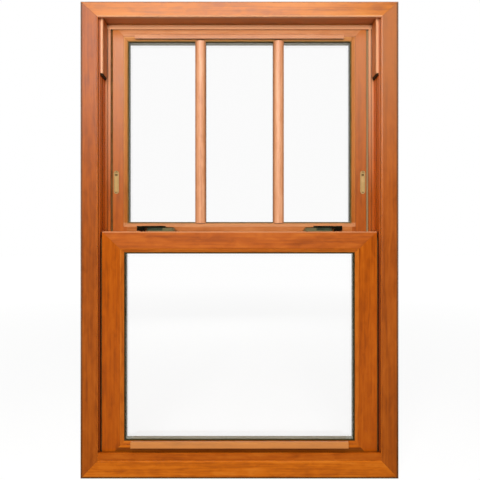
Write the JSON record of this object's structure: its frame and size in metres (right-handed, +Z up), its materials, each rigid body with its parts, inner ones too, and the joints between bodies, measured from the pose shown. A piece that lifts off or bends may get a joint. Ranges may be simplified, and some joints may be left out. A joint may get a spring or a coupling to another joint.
{
  "type": "sash window",
  "caption": "Double-hung wooden sash window in its mitred frame: sliding sashes with double glazing, glazing bars, cam locks, vent latches and hidden spiral balances.",
  "frame": {"origin": "middle of the frame's underside, halfway through its depth", "axes": "+X to the right seen from the room, +Y from the room to the outside, +Z up"},
  "size_m": [0.6096, 0.083, 0.9144],
  "materials": {
    "cherry_wood": "satin",
    "window_glass": "polished",
    "spacer_aluminium": "mill",
    "dark_bronze": "satin",
    "plated_steel": "zinc plated",
    "tan_plastic": "moulded",
    "grey_nylon": "moulded",
    "black_rubber": "matte",
    "wool_pile": "woven pile"
  },
  "bodies": {
    "frame": {"frame_head": "cherry_wood", "frame_sill": "cherry_wood", "frame_jamb_left": "cherry_wood", "frame_jamb_right": "cherry_wood", "sill_dam": "cherry_wood", "track_cover_left": "cherry_wood", "track_cover_right": "cherry_wood", "stop_pads": "black_rubber", "upper_side_piles": "wool_pile", "lower_balance_tube_left": "plated_steel", "lower_balance_tube_right": "plated_steel", "upper_balance_tube_left": "plated_steel", "upper_balance_tube_right": "plated_steel", "balance_screws": "plated_steel"},
    "lower_sash": {"lower_top_rail": "cherry_wood", "lower_bottom_rail": "cherry_wood", "lower_stile_left": "cherry_wood", "lower_stile_right": "cherry_wood", "lower_beads": "cherry_wood", "lower_inner_pane": "window_glass", "lower_outer_pane": "window_glass", "lower_spacer": "spacer_aluminium", "lower_setting_blocks": "black_rubber", "lower_side_piles": "wool_pile", "sill_seal": "black_rubber", "lower_pivot_bars": "plated_steel", "lower_shoes": "grey_nylon", "lower_spiral_rods": "plated_steel", "lock_case_left": "dark_bronze", "lock_case_right": "dark_bronze", "lock_screws": "plated_steel"},
    "upper_sash": {"upper_top_rail": "cherry_wood", "upper_bottom_rail": "cherry_wood", "upper_stile_left": "cherry_wood", "upper_stile_right": "cherry_wood", "upper_beads": "cherry_wood", "upper_inner_pane": "window_glass", "upper_outer_pane": "window_glass", "upper_spacer": "spacer_aluminium", "upper_setting_blocks": "black_rubber", "glazing_bars_inside": "cherry_wood", "glazing_bars_outside": "cherry_wood", "meeting_seal": "wool_pile", "keepers": "dark_bronze", "vent_housing_left": "tan_plastic", "vent_housing_right": "tan_plastic", "upper_pivot_bars": "plated_steel", "upper_shoes": "grey_nylon", "upper_spiral_rods": "plated_steel"},
    "lock_left": {"lock_lever_left": "dark_bronze", "lock_cam_left": "plated_steel"},
    "vent_left": {"vent_latch_left": "tan_plastic"},
    "lower_tilt_left": {"lower_tilt_latch_left": "grey_nylon"},
    "upper_tilt_left": {"upper_tilt_latch_left": "grey_nylon"},
    "lock_right": {"lock_lever_right": "dark_bronze", "lock_cam_right": "plated_steel"},
    "vent_right": {"vent_latch_right": "tan_plastic"},
    "lower_tilt_right": {"lower_tilt_latch_right": "grey_nylon"},
    "upper_tilt_right": {"upper_tilt_latch_right": "grey_nylon"}
  },
  "joints": [
    {"name": "lower_sash_slide", "type": "slide", "parent": "frame", "child": "lower_sash", "axis": [0, 0, 1], "range_m": [0, 0.3]},
    {"name": "upper_sash_slide", "type": "slide", "parent": "frame", "child": "upper_sash", "axis": [0, 0, -1], "range_m": [0, 0.3]},
    {"name": "lock_left_turn", "type": "hinge", "parent": "lower_sash", "child": "lock_left", "pos_m": [-0.154, -0.009, 0.474], "axis": [0, 0, 1], "range_deg": [0, 170]},
    {"name": "vent_left_tip", "type": "hinge", "parent": "upper_sash", "child": "vent_left", "pos_m": [-0.2468, 0.0075, 0.5878], "axis": [-1, 0, 0], "range_deg": [0, 20]},
    {"name": "lower_tilt_left_pull", "type": "slide", "parent": "lower_sash", "child": "lower_tilt_left", "axis": [1, 0, 0], "range_m": [0, 0.01], "stiffness_N_per_m": 200, "springref_m": -0.002},
    {"name": "upper_tilt_left_pull", "type": "slide", "parent": "upper_sash", "child": "upper_tilt_left", "axis": [1, 0, 0], "range_m": [0, 0.01], "stiffness_N_per_m": 200, "springref_m": -0.002},
    {"name": "lock_right_turn", "type": "hinge", "parent": "lower_sash", "child": "lock_right", "pos_m": [0.154, -0.009, 0.474], "axis": [0, 0, -1], "range_deg": [0, 170]},
    {"name": "vent_right_tip", "type": "hinge", "parent": "upper_sash", "child": "vent_right", "pos_m": [0.2468, 0.0075, 0.5878], "axis": [-1, 0, 0], "range_deg": [0, 20]},
    {"name": "lower_tilt_right_pull", "type": "slide", "parent": "lower_sash", "child": "lower_tilt_right", "axis": [-1, 0, 0], "range_m": [0, 0.01], "stiffness_N_per_m": 200, "springref_m": -0.002},
    {"name": "upper_tilt_right_pull", "type": "slide", "parent": "upper_sash", "child": "upper_tilt_right", "axis": [-1, 0, 0], "range_m": [0, 0.01], "stiffness_N_per_m": 200, "springref_m": -0.002}
  ]
}
